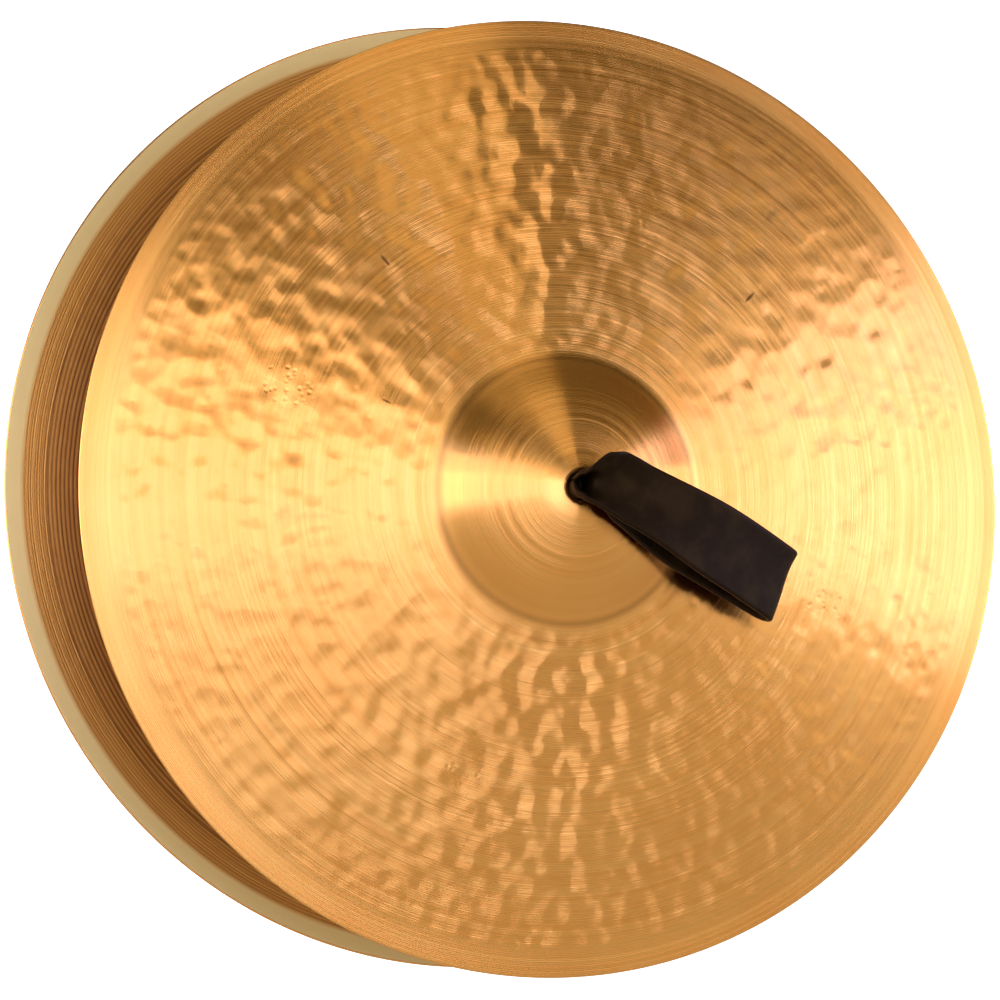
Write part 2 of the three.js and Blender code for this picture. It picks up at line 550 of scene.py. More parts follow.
        # The paler band inside the rim is partly a painted highlight.
        inner = graph.blended(on_rim, self.fresh, self.pale_rim_and_highlight)
        tone = graph.blended(inside, outer, inner)
        # Nicks are short dark strokes along the radius: stretching the radius draws their cells out.
        stretch = self.nick_stretch * radius ** -0.75
        nick = graph.cells(graph.scaled(flat, stretch), 1.0).step(0.055, 0.03)
        chosen = graph.noise(place, 1 / (47 * MM), 0.0).step(0.54, 0.58)
        # Painted shade: a dark ring in the crease where the bell meets the bow.
        crease_shade = (1.0 - (abs(radius - self.bell_edge) / (2.2 * MM)).clamped()) * 0.35
        # Painted shade in the inner face's grooves: dark fine rings just inside the rim band, and
        # dark coarse groove valleys.
        waver = (graph.noise(place, 1 / (22 * MM), 1.0) - 0.5) * 1.0 * MM
        ring_turn = (radius + waver) * (2 * math.pi / self.inner_groove_pitch)
        ring_shade = ring_turn.sine() * 0.5 + 0.5
        on_rings = radius.step(194 * MM, 196 * MM) * radius.step(208 * MM, 206 * MM) * inside
        # Painted shade: the inner face darker further in, where the other plate shades it.
        shade_deeper_in = radius.step(204 * MM, 180 * MM) * inside
        # painted shade, all of it: the groove valleys, the fine rings and the inner face further in
        painted_shade = valley * 0.8 + ring_shade * on_rings * 0.5 + shade_deeper_in * 0.35
        return graph.blended((nick * chosen * 0.85 + crease_shade + painted_shade).clamped(), tone, self.stain_and_shade)

    def _roughness(self, graph: Graph, place: Wire, radius: Wire) -> Wire:
        """The gloss, with faint smears from handling.

        Args:
            graph: The material's graph.
            place: The place, measured from the middle of the rim.
            radius: The distance from the axis.

        Returns:
            The roughness.
        """
        smear = graph.noise(place, 1 / (35 * MM), 4.0)
        polished = radius.step(self.crown_edge + 2 * MM, self.crown_edge - 2 * MM)
        return self.roughness * (0.8 + 0.4 * smear) - 0.04 * polished


@dataclass(frozen=True)
class LeatherFinish:
    """Smooth dark strap leather with a fine grain and burnished edges."""

    face: tuple = (0.0072, 0.0032, 0.0009, 1.0)
    worn: tuple = (0.024, 0.0120, 0.0040, 1.0)
    edge: tuple = (0.0115, 0.0050, 0.0026, 1.0)
    roughness: float = 0.50
    gloss: float = 0.15
    gloss_tint: tuple = (1.0, 0.58, 0.24, 1.0)
    grain: float = 0.42 * MM
    grain_depth: float = 0.045 * MM

    def material(self, name: str) -> bpy.types.Material:
        """The finish for any leather piece; its "edge" attribute is 1 along the cut edges.

        Args:
            name: The material's name.

        Returns:
            The material.
        """
        material, graph = surface_material(name)
        place = graph.node("ShaderNodeTexCoord").output("Object")
        edge = graph.node("ShaderNodeAttribute", {"attribute_name": "edge"}).output("Fac")
        pebbles = graph.cells(place, 1 / self.grain, 0.4)
        creases = graph.noise(place, 1 / (2.6 * MM), 4.0)
        wear = graph.noise(place, 1 / (14 * MM), 3.0)
        height = (pebbles * (1.0 - 0.7 * edge) + creases * 2.2) * self.grain_depth
        rubbed = graph.blended(wear.step(0.42, 0.70) * 0.85, self.face, self.worn)
        shader = graph.node(
            "ShaderNodeBsdfPrincipled",
            None,
            {
                "Base Color": graph.blended(edge * 0.8, rubbed, self.edge),
                "Roughness": self.roughness + 0.14 * (wear - 0.5) - 0.12 * edge,
                "Specular IOR Level": self.gloss,
                "Specular Tint": self.gloss_tint,
                "Normal": graph.node(
                    "ShaderNodeBump", None, {"Strength": 1.0, "Distance": 1.0, "Height": height}
                ),
            },
        )
        graph.node("ShaderNodeOutputMaterial", None, {"Surface": shader})
        return material


@dataclass(frozen=True)
class PaperFinish:
    """Plain matt studio paper, which may be lit from behind on the far side of the pair."""

    shade: tuple = (0.86, 0.86, 0.86, 1.0)
    glow: float = 0.0
    glow_from: float = -5.0  # along Y, where the light behind the paper begins
    glow_to: float = 2.0  # and where it is full
    dim: tuple = (0.25, 0.25, 0.25, 1.0)
    lit: tuple = (1.0, 1.0, 1.0, 1.0)

    def material(self, name: str) -> bpy.types.Material:
        """The finish.

        Args:
            name: The material's name.

        Returns:
            The material.
        """
        material, graph = surface_material(name)
        _, depth, _ = graph.separated(graph.node("ShaderNodeTexCoord").output("Object"))
        far_side = depth.step(self.glow_from, self.glow_to)
        shader = graph.node(
            "ShaderNodeBsdfPrincipled",
            None,
            {
                "Base Color": self.shade,
                "Roughness": 0.9,
                "Specular IOR Level": 0.1,
                "Emission Color": graph.blended(far_side, self.dim, self.lit),
                "Emission Strength": self.glow,
            },
        )
        graph.node("ShaderNodeOutputMaterial", None, {"Surface": shader})
        return material


# --------------------------------------------------------------------------- the plate


@dataclass
class CymbalPlate:
    """The bronze plate: bell, bow and rim, turned by one rule and hammered all over the bow."""

    side: Side
    place: Placement
    plate_radius: float = 215.9 * MM
    bell_radius: float = 59.5 * MM
    hole_radius: float = 6.35 * MM
    bow_rise: float = 28 * MM
    bell_rise: float = 24 * MM
    bow_slope_share: float = 0.585
    rim_wall: float = 1.0 * MM
    crown_wall: float = 1.8 * MM
    bell_fillet: float = 4.5 * MM
    hammer_depth: float = 0.95 * MM
    blow_spacing: float = 11.3 * MM
    ring_depth: float = 0.05 * MM
    scallop_depth: float = 0.16 * MM
    scallop_pitch: float = 2.1 * MM
    scallop_band: tuple = (176 * MM, 196 * MM)
    rim_band_from: float = 207.5 * MM
    rim_band_slope: float = 0.12
    around: int = 396
    rows_outside: int = 124
    rows_rim: int = 5
    rows_inside: int = 108
    rows_hole: int = 4
    fine_inside_band: float = 38 * MM
    fine_inside_share: float = 0.72
    seed: int = 4
    finish: BronzeFinish = field(default_factory=BronzeFinish)

    def build(self) -> bpy.types.Object:
        """Makes the plate and joins it to the frame.

        Returns:
            The finished plate.
        """
        name = f"{self.side.value}_bronze_plate"
        material = self.finish.material(f"{self.side.value}_turned_bronze", self.place)
        plate = run_tree(name, self._tree(), self._inputs(material))
        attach(plate, f"{self.side.value}_plate")
        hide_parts(f"{self.side.value}_cymbal_plate")
        return plate

    def _inputs(self, material: bpy.types.Material) -> dict:
        """The value of each named input of the tree.

        Args:
            material: The plate's finish, or None where only the types matter.

        Returns:
            The values by name.
        """
        return {
            "Around": self.around,
            "Plate Radius": self.plate_radius,
            "Bell Radius": self.bell_radius,
            "Hole Radius": self.hole_radius,
            "Bow Rise": self.bow_rise,
            "Bell Rise": self.bell_rise,
            "Rim Wall": self.rim_wall,
            "Crown Wall": self.crown_wall,
            "Hammer Depth": self.hammer_depth,
            "Blow Spacing": self.blow_spacing,
            "Ring Depth": self.ring_depth,
            "Scallop Depth": self.scallop_depth,
            "Seed": self.seed if self.side is Side.FRONT else self.seed + 7,
            "Origin": tuple(self.place.origin),
            "Strap Way": tuple(self.place.strap_way),
            "Bell Way": tuple(self.place.bell_way),
            "Across": tuple(self.place.across),
            "Bronze": material,
        }

    def _tree(self) -> bpy.types.NodeTree:
        """The Geometry Nodes tree that turns and hammers the plate.

        Returns:
            The tree, with the inputs that _inputs names.
        """
        tree, graph, given = geometry_tree("turned and hammered plate", self._inputs(None))
        rows = self.rows_outside + self.rows_rim + self.rows_inside + self.rows_hole
        grid = graph.node(
            "GeometryNodeMeshGrid",
            None,
            {"Size X": 1.0, "Size Y": 1.0, "Vertices X": given["Around"] + 1.0,
             "Vertices Y": rows + 1},
        )
        column, row, _ = graph.separated(graph.node("GeometryNodeInputPosition"))
        turn = (column + 0.5) * (2 * math.pi)
        radius, height, inside = self._section(graph, given, (row + 0.5) * rows)
        east, north = turn.cosine(), turn.sine()
        lift = self._worked_surface(graph, given, radius, east, north)
        scallop, valley = self._scallops(graph, radius, east, north, inside)
        lift = lift + scallop * given["Scallop Depth"]
        local = (radius * east, height + lift, radius * north)
        placed = given["Origin"]
        for way, amount in zip(("Strap Way", "Bell Way", "Across"), local):
            placed = graph.vector("ADD", placed, graph.scaled(given[way], amount))
        marked = grid  # marked before it is moved: both marks are worked out from the flat grid
        for title, value in (("inside", inside), ("valley", valley)):
            marked = graph.node(
                "GeometryNodeStoreNamedAttribute",
                {"data_type": "FLOAT", "domain": "POINT"},
                {"Geometry": marked, "Name": title, "Value": value},
            )
        shaped = graph.node(
            "GeometryNodeSetPosition", None, {"Geometry": marked, "Position": placed}
        )
        closed = graph.node(
            "GeometryNodeMergeByDistance", None, {"Geometry": shaped, "Distance": 0.002 * MM}
        )
        finish_tree(graph, closed, given["Bronze"])
        return tree

    def _section(
        self, graph: Graph, given: Mapping[str, Wire], row: Wire
    ) -> tuple[Wire, Wire, Wire]:
        """The closed section: out along the outer face, round the rim, back, round the hole.

        Args:
            graph: The tree's graph; not used.
            given: The tree's named inputs.
            row: The number of the row, from 0 to the number of rows.

        Returns:
            The radius, the height and how far the point is on the inner face, from 0 to 1.
        """
        outward = (row / self.rows_outside).clamped()
        past_face = row - self.rows_outside
        round_rim = (past_face / self.rows_rim).clamped()
        past_rim = past_face - self.rows_rim
        inward = (past_rim / self.rows_inside).clamped()
        round_hole = ((past_rim - self.rows_inside) / self.rows_hole).clamped()
        share = self.fine_inside_share
        first = given["Hole Radius"] + given["Crown Wall"] / 2
        last = given["Plate Radius"] - given["Rim Wall"] / 2
        fine = (inward / share).least(1.0) * self.fine_inside_band
        coarse = ((inward - share) / (1 - share)).most(0.0)
        back = fine + coarse * (last - first - self.fine_inside_band)
        face_radius = first + outward * (last - first) - back
        wall = given["Crown Wall"] + (given["Rim Wall"] - given["Crown Wall"]) * (
            face_radius / given["Plate Radius"]
        )
        roll = (round_rim + round_hole) * math.pi
        height = self._outer_height(given, face_radius) - wall / 2 + wall / 2 * roll.cosine()
        radius = face_radius + wall / 2 * roll.sine()
        return radius, height, (inward * 1000).clamped() * (1.0 - round_hole)

    def _outer_height(self, given: Mapping[str, Wire], radius: Wire) -> Wire:
        """The outer face: the bell's ball over the bow, with a fillet between.

        Args:
            given: The tree's named inputs.
            radius: The distance from the axis.

        Returns:
            The height over the plane of the rim.
        """
        rise, bell = given["Bell Rise"], given["Bell Radius"]
        ball = (bell * bell + rise * rise) / (2.0 * rise)
        apex = given["Rim Wall"] + given["Bow Rise"] + rise
        on_bell = apex - ball + (ball * ball - radius * radius).most(0.0).root()
        out = (radius - bell) / (given["Plate Radius"] - bell)
        fall = self.bow_slope_share * out + (1 - self.bow_slope_share) * out * out
        on_bow = given["Rim Wall"] + given["Bow Rise"] * (1.0 - fall)
        near = (self.bell_fillet - abs(on_bell - on_bow)).most(0.0)
        return on_bell.most(on_bow) + near * near / (4 * self.bell_fillet)

    def _worked_surface(
        self,
        graph: Graph,
        given: Mapping[str, Wire],
        radius: Wire,
        east: Wire,
        north: Wire,
    ) -> Wire:
        """How far hammering and turning lift the surface, which is alike on both faces.

        Args:
            graph: The tree's graph.
            given: The tree's named inputs.
            radius: The distance from the axis.
            east: The cosine of the angle round the axis.
            north: The sine of that angle.

        Returns:
            The lift along the axis.
        """
        spread = radius / given["Blow Spacing"]
        blows_at = graph.combined(east * spread, north * spread, given["Seed"] * 1.7)
        blows = graph.cells(blows_at, 1.0, 0.45) - 0.45
        swell = graph.noise(blows_at, 0.55, 1.0) - 0.5
        patches = graph.noise(blows_at, 0.16, 1.0).step(0.36, 0.58)
        bell = given["Bell Radius"]
        worked = radius.step(66 * MM, 80 * MM) * radius.step(200 * MM, 182 * MM)
        force = worked * (0.3 + 0.7 * patches) * given["Hammer Depth"]
        hammered = (blows * 0.8 + swell * 0.9) * force
        rings = (graph.line_noise(radius, 1 / (6 * MM), 1.0) - 0.5) * given["Ring Depth"]
        off_bell = (radius / bell).step(0.3, 0.6)
        flatter = (radius - self.rim_band_from).most(0.0) * self.rim_band_slope
        return hammered + rings * off_bell + flatter

    def _scallops(
        self, graph: Graph, radius: Wire, east: Wire, north: Wire, inside: Wire
    ) -> tuple[Wire, Wire]:
        """The coarse, slightly wavering grooves of the inner face.

        Args:
            graph: The tree's graph.
            radius: The distance from the axis.
            east: The cosine of the angle round the axis.
            north: The sine of that angle.
            inside: How far the point is on the inner face.

        Returns:
            The height of the ridges, from 0 to 1, and a mask of the valleys between them, which the
            bronze finish darkens as painted shade.
        """
        low, high = self.scallop_band
        waver = (graph.noise(graph.combined(east, north, radius * 9), 3.0, 2.0) - 0.5) * 1.2 * MM
        wave = abs(((radius + waver) * (math.pi / self.scallop_pitch)).sine())
        cut = radius.step(low, low + 6 * MM) * radius.step(high + 1 * MM, high - 1 * MM) * inside
        return -wave * cut, (1.0 - wave) * cut


def geometry_tree(
    name: str, inputs: Mapping[str, object]
) -> tuple[bpy.types.NodeTree, Graph, dict[str, Wire]]:
    """Starts a Geometry Nodes tree with one named input for each value.

    Args:
        name: The tree's name.
        inputs: The inputs' names, with a value that shows each one's type.

    Returns:
        The tree, its graph, and the wire of each named input.
    """
    tree = bpy.data.node_groups.new(name, "GeometryNodeTree")
    for title, value in inputs.items():
        if isinstance(value, bool):
            kind = "NodeSocketBool"
        elif isinstance(value, int):
            kind = "NodeSocketInt"
        elif isinstance(value, float):
            kind = "NodeSocketFloat"
        elif isinstance(value, tuple):
            kind = "NodeSocketVector"
        else:
            kind = "NodeSocketMaterial"
        tree.interface.new_socket(title, in_out="INPUT", socket_type=kind)
    tree.interface.new_socket("Mesh", in_out="OUTPUT", socket_type="NodeSocketGeometry")
    graph = Graph(tree)
    first = graph.node("NodeGroupInput")
    return tree, graph, {title: first.output(title) for title in inputs}


def finish_tree(graph: Graph, geometry: Wire, material: Wire) -> None:
    """Ends a tree: smooth shading, real geometry in place of instances, and its material.

    Args:
        graph: The tree's graph.
        geometry: The finished geometry.
        material: The input that names the material.
    """
    smooth = graph.node("GeometryNodeSetShadeSmooth", None, {"Geometry": geometry})
    real = graph.node("GeometryNodeRealizeInstances", None, {"Geometry": smooth})
    dressed = graph.node(
        "GeometryNodeSetMaterial", None, {"Geometry": real, "Material": material}
    )
    graph.node("NodeGroupOutput", None, {"Mesh": dressed})


def run_tree(
    name: str, tree: bpy.types.NodeTree, inputs: Mapping[str, object]
) -> bpy.types.Object:
    """Runs a tree on an empty mesh and keeps what it makes as a plain mesh.

    Args:
        name: The new object's name.
        tree: The Geometry Nodes tree.
        inputs: A value for each of its named inputs.

    Returns:
        The object, with no modifier on it.
    """
    piece = bpy.data.objects.new(name, bpy.data.meshes.new(name))
    bpy.context.scene.collection.objects.link(piece)
    modifier = piece.modifiers.new(tree.name, "NODES")
    modifier.node_group = tree
    for item in tree.interface.items_tree:
        if item.in_out == "INPUT":
            modifier[item.identifier] = inputs[item.name]
    evaluated = piece.evaluated_get(bpy.context.evaluated_depsgraph_get())
    made = bpy.data.meshes.new_from_object(evaluated)
    made.name = name
    piece.modifiers.clear()
    piece.data = made
    return piece


# --------------------------------------------------------------------------- leather


@dataclass(frozen=True)
class Station:
    """The strap's section at one place along its path, in millimetres and radians per mm.

    The curl bends an edge towards the face that shows, so that the neck closes to a tube.
    """

    along: float
    upper: float
    lower: float
    upper_curl: float
    lower_curl: float
    thickness: float
    tall: float = 1.0


def bezier(points: Sequence[tuple[float, float]], count: int) -> np.ndarray:
    """Points along a cubic Bezier curve, without its last one.

    Args:
        points: Its four control points.
        count: How many points to give.

    Returns:
        The points, one to a row.
    """
    t = np.arange(count)[:, None] / count
    a, b, c, d = (np.array(p, float) for p in points)
    return a * (1 - t) ** 3 + 3 * b * t * (1 - t) ** 2 + 3 * c * t**2 * (1 - t) + d * t**3


def arc(
    centre: tuple[float, float], radius: float, start: float, end: float, count: int
) -> np.ndarray:
    """Points along an arc, without its last one.

    Args:
        centre: The arc's centre.
        radius: Its radius.
        start: Where it starts, in degrees.
        end: Where it ends.
        count: How many points to give.

    Returns:
        The points, one to a row.
    """
    turn = np.radians(start + (end - start) * np.arange(count) / count)
    return np.array(centre) + radius * np.stack([np.cos(turn), np.sin(turn)], axis=1)


def eased(at: np.ndarray, places: Sequence[float], values: Sequence[float]) -> np.ndarray:
    """Values read off a list of stations, with a smooth change between neighbours.

    Args:
        at: The places to read at.
        places: The stations' places, rising.
        values: The value at each station.

    Returns:
        One value for each place in at.
    """
    index = np.clip(np.searchsorted(places, at, side="right") - 1, 0, len(places) - 2)
    p, v = np.array(places, float), np.array(values, float)
    t = np.clip((at - p[index]) / (p[index + 1] - p[index]), 0, 1)
    t = t * t * (3 - 2 * t)
    return v[index] * (1 - t) + v[index + 1] * t


@dataclass
class LeatherSheet:
    """A strip of leather that follows a path and may curl up across its width."""

    path: np.ndarray
    stations: Sequence[Station]
    offset: float = 0.0
    across_steps: int = 24
    edge_steps: int = 4
    edge_shape: Optional[Callable[[np.ndarray, np.ndarray], np.ndarray]] = None

    def mesh(self, name: str, place: Placement) -> bpy.types.Mesh:
        """The strip as one closed mesh.

        Args:
            name: The mesh's name.
            place: The cymbal's placement.

        Returns:
            The mesh, with an "edge" attribute that is 1 along the cut edges.
        """
        rings, edge = self._rings()
        count, around = rings.shape[:2]
        verts = place.points(rings.reshape(-1, 3) * MM)
        index = np.arange(count * around).reshape(count, around)
        turned = np.roll(index, -1, axis=1)
        quads = np.stack([index[:-1], turned[:-1], turned[1:], index[1:]], axis=-1)
        faces = [list(map(int, q)) for q in quads.reshape(-1, 4)]
        faces.append([int(i) for i in index[0][::-1]])
        faces.append([int(i) for i in index[-1]])
        mesh = bpy.data.meshes.new(name)
        mesh.from_pydata([tuple(v) for v in verts], [], faces)
        mesh.attributes.new("edge", "FLOAT", "POINT").data.foreach_set(
            "value", np.tile(edge, count).astype(np.float32)
        )
        mesh.shade_smooth()
        mesh.update()
        return mesh

    def _rings(self) -> tuple[np.ndarray, np.ndarray]:
        """The closed section at each point of the path.

        Returns:
            The sections, and how near each point of a section is to a cut edge, from 0 to 1.
        """
        path = self.path
        steps = np.linalg.norm(np.diff(path, axis=0), axis=1)
        length = np.concatenate([[0.0], np.cumsum(steps)])
        tangent = np.gradient(path, length, axis=0)
        tangent /= np.linalg.norm(tangent, axis=1)[:, None]
        normal = np.stack([-tangent[:, 1], tangent[:, 0]], axis=1)
        at = length / length[-1]
        places = [s.along for s in self.stations]

        def read(part: str) -> np.ndarray:
            """One of the stations' values, all along the path."""
            return eased(at, places, [getattr(s, part) for s in self.stations])[:, None]

        across = np.linspace(-1, 1, self.across_steps + 1)[None, :]
        low_side = across > 0
        reach = np.where(low_side, read("lower"), read("upper")) * across
        curl = np.where(low_side, read("lower_curl"), read("upper_curl"))
        curl = np.where(np.abs(curl) < 1e-5, 1e-5, curl)
        angle = reach * curl
        sideways = np.sin(angle) / curl * read("tall")
        lift = (1 - np.cos(angle)) / curl
        half = read("thickness") / 2

        centre = np.stack(
            [
                path[:, :1] + normal[:, :1] * lift,
                path[:, 1:] + normal[:, 1:] * lift,
                sideways + self.offset,
            ],
            axis=-1,
        )
        if self.edge_shape is not None:
            centre = centre + self.edge_shape(at[:, None], sideways)
        face = np.stack(
            [normal[:, :1] * np.cos(angle), normal[:, 1:] * np.cos(angle), -np.sin(angle)], axis=-1
        )
        out = np.stack(
            [normal[:, :1] * np.sin(angle), normal[:, 1:] * np.sin(angle), np.cos(angle)], axis=-1
        )
        half = half[..., None]
        roll = np.linspace(0, np.pi, self.edge_steps + 2)[1:-1]
        rounds = []
        for edge_index, sign in ((-1, 1.0), (0, -1.0)):
            spot, up, away = (a[:, edge_index][:, None] for a in (centre, face, out))
            turn = roll if sign > 0 else roll + np.pi
            rounds.append(
                spot
                + half * up * np.cos(turn)[None, :, None]
                + half * away * sign * np.abs(np.sin(turn))[None, :, None] * 0.8
            )
        top = centre + half * face
        under = (centre - half * face)[:, ::-1]
        rings = np.concatenate([top, rounds[0], under, rounds[1]], axis=1)
        near = np.clip((np.abs(across[0]) - 0.93) / 0.07, 0, 1)
        ones = np.ones(self.edge_steps)
        return rings, np.concatenate([near * 0.6, ones, near[::-1] * 0.6, ones])


@dataclass
class Strap:
    """One leather strap: a rolled neck that stands out of the bell, and a folded hand loop."""

    side: Side
    place: Placement
    leather: bpy.types.Material
    tube_wall: float = 3.3
    tube_foot: float = 46.5
    loop_start: tuple = (20.3, 64.5)
    loop_end: tuple = (20.3, 57.5)
    fold_centre: tuple = (102.6, 37.6)
    fold_radius: float = 4.6
    blend_from: float = 5.0 * MM
    blend_to: float = 23.0 * MM
    hinge_height: float = 60 * MM
    fold_at: float = 0.505
    fold_spread: float = 0.06
    middle: float = -7.2
    half_width: float = 16.0

    def build(self) -> bpy.types.Object:
        """Makes the strap in place, as a plain mesh in the pair's frame.

        Returns:
            The finished strap.
        """
        side = self.side.value
        name = f"{side}_leather_strap"
        sheet = LeatherSheet(self._path(), self._stations(), edge_shape=self._fold_shape)
        strap = bpy.data.objects.new(name, sheet.mesh(name, self.place))
        bpy.context.scene.collection.objects.link(strap)
        strap.data.materials.append(self.leather)
        round_off(strap, 1)
        tuple(self.place.point(self.blend_from, self.hinge_height))
        tuple(self.place.point(self.blend_to, self.hinge_height))
        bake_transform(strap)
        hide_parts(f"{side}_strap_neck", f"{side}_strap_hand_loop")
        return strap

    def _path(self) -> np.ndarray:
        """The strap's middle line: up the tube, out, round the fold, back and down again.

        Returns:
            Its points in millimetres, along the strap and up from the rim.
        """
        foot = (self.tube_wall, self.tube_foot)
        lip = (self.tube_wall, 56.5)
        start, end = self.loop_start, self.loop_end
        fold_top = arc(self.fold_centre, self.fold_radius, 68, -100, 20)
        fold_low = arc(self.fold_centre, self.fold_radius, -100, -101, 1)[0]
        tx, ty = fold_top[0]
        lx, ly = fold_low
        return np.concatenate(
            [
                bezier((foot, (foot[0], 50), (lip[0], 53), lip), 8),
                bezier((lip, (lip[0], 62.0), (9.5, 64.0), start), 26),
                bezier((start, (start[0] + 28, 66), (tx - 28, ty + 14), (tx, ty)), 60),
                fold_top,
                bezier(((lx, ly), (lx - 24, ly + 4.2), (end[0] + 22, 42), end), 56),
                bezier((end, (15.4, 61.0), (6.6, 60.6), (5.2, 52.0)), 20),
                np.array([[5.1, 51.4], [5.0, 50.6]]),
            ]
        )

    @staticmethod
    def _stations() -> list[Station]:
        """The strap's section from the foot of the tube to the tail of the lower layer.

        Returns:
            The stations in order.
        """
        tube = dict(upper_curl=0.245, lower_curl=0.245, thickness=2.0, tall=1.28)
        return [
            Station(0.0, 12.2, 12.2, **tube),
            Station(0.042, 12.2, 12.2, **tube),
            Station(0.055, 14.0, 9.4, 0.190, 0.215, 2.2, 1.25),
            Station(0.070, 18.2, 7.5, 0.070, 0.160, 2.5, 1.1),
            Station(0.088, 19.4, 7.2, 0.020, 0.080, 2.8),
            Station(0.14, 18.9, 7.8, 0.006, 0.020, 3.0),
            Station(0.34, 20.8, 11.0, 0.003, 0.004, 3.0),
            Station(0.48, 20.6, 11.2, 0.003, 0.003, 3.0),
            Station(0.54, 20.6, 11.2, -0.003, -0.003, 3.0),
            Station(0.74, 20.6, 10.9, -0.002, -0.002, 3.0),
            Station(0.92, 14.8, 8.1, -0.01, -0.02, 2.8),
            Station(0.965, 8.0, 6.4, -0.13, -0.14, 2.0),
            Station(1.0, 6.4, 6.4, -0.20, -0.20, 1.4),
        ]

    def _fold_shape(self, at: np.ndarray, sideways: np.ndarray) -> np.ndarray:
        """The small in-and-out of the fold's end.

        Args:
            at: The place along the path, from 0 to 1.
            sideways: The place across the strap.

        Returns:
            Offsets along the strap in millimetres.
        """
        near_fold = np.exp(-(((at - self.fold_at) / self.fold_spread) ** 2))
        place = (sideways - self.middle) / self.half_width
        inout = -1.3 * (1 - place**2) + 0.7 * np.sin(place * 2.6)
        shift = inout * near_fold
        return np.stack([shift, np.zeros_like(shift), np.zeros_like(shift)], axis=-1)


@dataclass
class Knot:
    """The square knot of four thongs that holds the strap inside the bell."""

    side: Side
    place: Placement
    leather: bpy.types.Material
    width: float = 6.0
    offset: float = 5.5
    tail: float = 24.0
    thickness: float = 3.0
    spread_height: float = 48.1
    lay: float = 3.3

    def build(self) -> list[bpy.types.Object]:
        """Makes the four thongs and joins them to the frame.

        Returns:
            The finished thongs.
        """
        return [self._thong(number) for number in range(1, 5)]

    def _thong(self, number: int) -> bpy.types.Object:
        """One thong, turned a quarter further than the one before it.

        Args:
            number: Which thong, from 1 to 4.

        Returns:
            The finished thong.
        """
        side = self.side.value
        name = f"{side}_woven_thong_{number}"
        half = self.width / 2
        stations = [
            Station(0.0, half * 0.8, half * 0.8, 0.0, 0.0, self.thickness * 0.8),
            Station(0.3, half, half, 0.02, 0.02, self.thickness),
            Station(0.7, half, half, 0.03, 0.03, self.thickness),
            Station(1.0, half * 0.7, half * 0.7, 0.0, 0.0, self.thickness * 0.7),
        ]
        sheet = LeatherSheet(self._path(), stations, self.offset, across_steps=6)
        thong = bpy.data.objects.new(name, sheet.mesh(name, self._turned(number)))
        bpy.context.scene.collection.objects.link(thong)
        thong.data.materials.append(self.leather)
        round_off(thong, 1)
        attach(thong, f"{side}_strap")
        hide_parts(f"{side}_knot_thong_{number}")
        return thong

    def _turned(self, number: int) -> Placement:
        """The cymbal's placement turned about its axis for one thong.

        Args:
            number: Which thong, from 1 to 4.

        Returns:
            The turned placement.
        """
        turn = (number - 1) * math.pi / 2
        place = self.place
        return Placement(
            origin=place.origin,
            strap_way=math.cos(turn) * place.strap_way - math.sin(turn) * place.across,
            bell_way=place.bell_way,
            across=math.sin(turn) * place.strap_way + math.cos(turn) * place.across,
        )

    def _path(self) -> np.ndarray:
        """A thong's middle line: out from the stem, back beneath and over into a tail.

        Returns:
            Its points in millimetres, out from the axis and up from the rim.
        """
        spread, high = self.spread_height, self.spread_height - self.lay
        low = high - self.lay
        reach = self.offset + self.width / 2 + 1
        gap = self.offset - self.width / 2
        return np.concatenate(
            [
                bezier(((-1, spread), (-4, spread), (-reach + 3, spread), (-reach, spread)), 8),
                arc((-reach, high), self.lay, 90, 270, 12),
                bezier(((-reach, low), (-7, low), (-5, low), (-gap, low)), 6),
                bezier(((-gap, low), (-gap / 4, low), (gap / 4, high), (gap, high)), 8),
                bezier(((gap, high), (5, high), (reach - 3, high), (reach, high)), 6),
                bezier(
                    ((reach, high), (reach + 5, high), (self.tail - 4, low + 2),
                     (self.tail, low + 0.5)), 12,
                ),
                np.array([[self.tail, low + 0.5]]),
            ]
        )


def round_off(piece: bpy.types.Object, levels: int) -> None:
    """Smooths a leather piece with a subdivision surface, alike in view and render.

    Args:
        piece: The piece.
        levels: How often its faces are divided.
    """
    smoother = piece.modifiers.new("rounded leather", "SUBSURF")
    smoother.levels = levels
    smoother.render_levels = levels


# --------------------------------------------------------------------------- studio


@dataclass(frozen=True)
class SoftBox:
    """A soft box, given by the window that it fills as the pair sees it, in degrees."""

    name: str
    azimuths: tuple
    elevations: tuple
    distance: float
    radiance: float
    tint: tuple

    def build(self) -> None:
        """Makes the light, facing the pair."""
        wide, high = (
            2 * self.distance * math.tan(math.radians((b - a) / 2))
            for a, b in (self.azimuths, self.elevations)
        )
        light = bpy.data.lights.new(self.name, "AREA")
        light.shape = "RECTANGLE"
        light.size, light.size_y = wide, high
        light.color = self.tint
        light.energy = 4 * self.radiance * wide * high  # a quarter of the power over the area
        lamp = bpy.data.objects.new(self.name, light)
        towards = direction(sum(self.azimuths) / 2, sum(self.elevations) / 2)
        lamp.location = towards * self.distance
        lamp.rotation_euler = towards.to_track_quat("Z", "Y").to_euler()
        bpy.context.scene.collection.objects.link(lamp)


